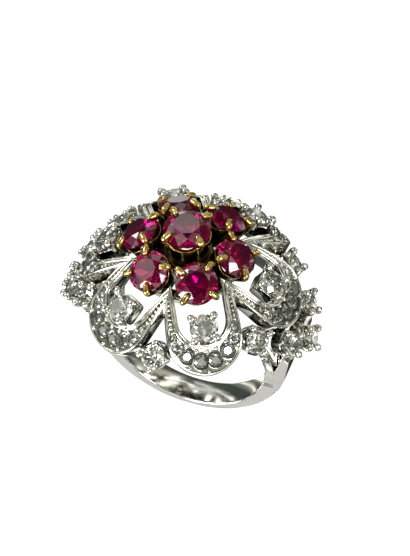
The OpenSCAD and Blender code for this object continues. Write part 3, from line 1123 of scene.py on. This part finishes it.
# The room's brightness over its noise: each stop's place and colour
ROOM_STOPS = [
    (0.45, (0.01, 0.014, 0.011)),
    (0.50, (0.08, 0.088, 0.065)),
    (0.54, (0.44, 0.435, 0.36)),
    (0.585, (1.6, 1.6, 1.5)),
]

# What the ring mirrors: azimuth, elevation, inner and outer half angle in degrees, and the colour there
WINDOWS = [
    (78, 11, 14, 34, (0.62, 0.62, 0.60)),
    (-95, -12, 8, 24, (0.34, 0.33, 0.26)),
    (-20, -17, 17, 24, (0.02, 0.03, 0.028)),
    (-50, -30, 5, 12, (1.2, 1.18, 1.1)),
    (75, -78, 8, 16, (0.36, 0.35, 0.28)),
    (55, -54, 15, 24, (0.015, 0.025, 0.02)),
    (-140, 62, 10, 22, (0.05, 0.055, 0.05)),
    (20, 55, 3, 9, (1.0, 0.99, 0.96)),
    (-75, 38, 3, 9, (1.0, 0.98, 0.92)),
    (-10, 44, 4, 10, (0.03, 0.035, 0.03)),
]


def room_group(name):
    """The colour of the room in a direction from the ring: dark, with pale patches and some windows."""
    tree, given, result = new_group("Shader", name, {"Direction": "Vector"}, {"Color": "Color"})
    direction = given["Direction"]
    noise = output(tree, "ShaderNodeTexNoise", "Fac", {"Vector": direction, "Scale": 4.5, "Detail": 1})
    colour = output(tree, "ShaderNodeValToRGB", "Color", {"Fac": noise})
    ramp = colour.node.color_ramp.elements
    ramp.new(0.5)
    ramp.new(0.6)
    for element, (position, tint) in zip(ramp, ROOM_STOPS):
        element.position = position
        element.color = (*tint, 1)
    for azimuth, elevation, inner, outer, tint in WINDOWS:
        a, e = radians(azimuth), radians(elevation)
        middle = (cos(e) * cos(a), cos(e) * sin(a), sin(e))
        facing = output(tree, "ShaderNodeVectorMath", "Value", {0: direction, 1: middle},
                        operation="DOT_PRODUCT")
        mask = output(tree, "ShaderNodeMapRange", "Result", {
            "Value": facing, "From Min": cos(radians(outer)),
            "From Max": cos(radians(inner))}, interpolation_type="SMOOTHSTEP")
        colour = mixed(tree, mask, colour, (*tint, 1))
    fill(result, {"Color": colour})
    return tree


def add_floor():
    """A floor that glows: plain white to the camera, and to the ring the room's dark and bright patches, so
    that the ring mirrors it as it does the room.
    """
    size = 3.0
    mesh = bpy.data.meshes.new("floor")
    corners = [(-size, -size, 0), (size, -size, 0), (size, size, 0), (-size, size, 0)]
    mesh.from_pydata(corners, [], [(0, 1, 2, 3)])
    material, tree, paint = shader("White floor", {
        "Base Color": (0.03, 0.03, 0.03, 1), "Roughness": 0.9, "Specular IOR Level": 0,
        "Emission Strength": 1.1})
    place = output(tree, "ShaderNodeNewGeometry", "Position")
    ring_centre = (0, 0, 0.012)
    away = output(tree, "ShaderNodeVectorMath", "Vector", {0: place, 1: ring_centre}, operation="SUBTRACT")
    direction = output(tree, "ShaderNodeVectorMath", "Vector", {0: away}, operation="NORMALIZE")
    room = output(tree, "ShaderNodeGroup", "Color", {"Direction": direction},
                  node_tree=shared("Ring room", room_group))
    # The floor's glow is white for camera rays and the room's colour for all other rays, which the ring
    # mirrors as light from below
    seen = output(tree, "ShaderNodeLightPath", "Is Camera Ray")
    fill(paint, {"Emission Color": mixed(tree, seen, room, (1, 1, 1, 1))})
    mesh.materials.append(material)
    floor = add_object("floor", mesh)


def add_softbox(name, place, size, strength):
    """A rectangular area light of this many watts that faces the ring."""
    ring_centre = (0, 0, 0.01)
    data = bpy.data.lights.new(name, "AREA")
    data.shape = "RECTANGLE"
    data.size, data.size_y = size
    data.energy = strength
    light = add_object(name, data)
    light.location = place
    facing = Vector(ring_centre) - Vector(place)
    light.rotation_mode = "QUATERNION"
    light.rotation_quaternion = facing.to_track_quat("-Z", "Y")


def add_room(strength):
    """The room round the ring, which the metal and the stones mirror."""
    world = bpy.data.worlds.new("room")
    bpy.context.scene.world = world
    world.use_nodes = True
    tree = world.node_tree
    place = output(tree, "ShaderNodeTexCoord", "Generated")
    room = output(tree, "ShaderNodeGroup", "Color", {"Direction": place},
                  node_tree=shared("Ring room", room_group))
    fill(tree.nodes["Background"], {"Strength": strength, "Color": room})


class RING_OT_stage(bpy.types.Operator):
    """Set the floor, the light and the camera"""
    bl_idname = "ring.stage"
    bl_label = "Stage"

    def execute(self, context):
        stage = context.scene.ring_stage
        add_floor()
        add_room(stage.world)
        add_softbox("overhead", place=(0.12, 0.3, 0.42), size=(0.25, 0.25), strength=3.0)
        add_softbox("left", place=(-0.5, -0.1, 0.35), size=(0.12, 0.3), strength=1.6)
        add_softbox("right", place=(0.45, -0.35, 0.25), size=(0.1, 0.3), strength=1.2)
        add_camera(stage)
        context.scene.view_settings.view_transform = "Standard"
        return {"FINISHED"}


class RING_PT_panel(bpy.types.Panel):
    """Lists the steps that build the ring"""
    bl_idname = "RING_PT_panel"
    bl_label = "Flower cluster ring"
    bl_space_type = "VIEW_3D"
    bl_region_type = "UI"
    bl_category = "Ring"

    def draw(self, context):
        for step in STEPS:
            self.layout.operator(step.bl_idname)


STEPS = (RING_OT_shank, RING_OT_petals, RING_OT_settings, RING_OT_gold, RING_OT_stones, RING_OT_stage)
GROUPS = (("ring_petals", RingPetals), ("ring_shank", RingShank), ("ring_stones", RingStones),
          ("ring_claws", RingClaws), ("ring_finish", RingFinish), ("ring_stage", RingStage))


def register():
    for name, group in GROUPS:
        bpy.utils.register_class(group)
        setattr(bpy.types.Scene, name, bpy.props.PointerProperty(type=group))
    for step in STEPS:
        bpy.utils.register_class(step)
    bpy.utils.register_class(RING_PT_panel)


def unregister():
    bpy.utils.unregister_class(RING_PT_panel)
    for step in reversed(STEPS):
        bpy.utils.unregister_class(step)
    for name, group in reversed(GROUPS):
        delattr(bpy.types.Scene, name)
        bpy.utils.unregister_class(group)


def main():
    register()
    bpy.ops.ring.shank()
    bpy.ops.ring.petals()
    bpy.ops.ring.settings()
    bpy.ops.ring.gold()
    bpy.ops.ring.stones()
    bpy.ops.ring.stage()


if __name__ == "__main__":
    main()
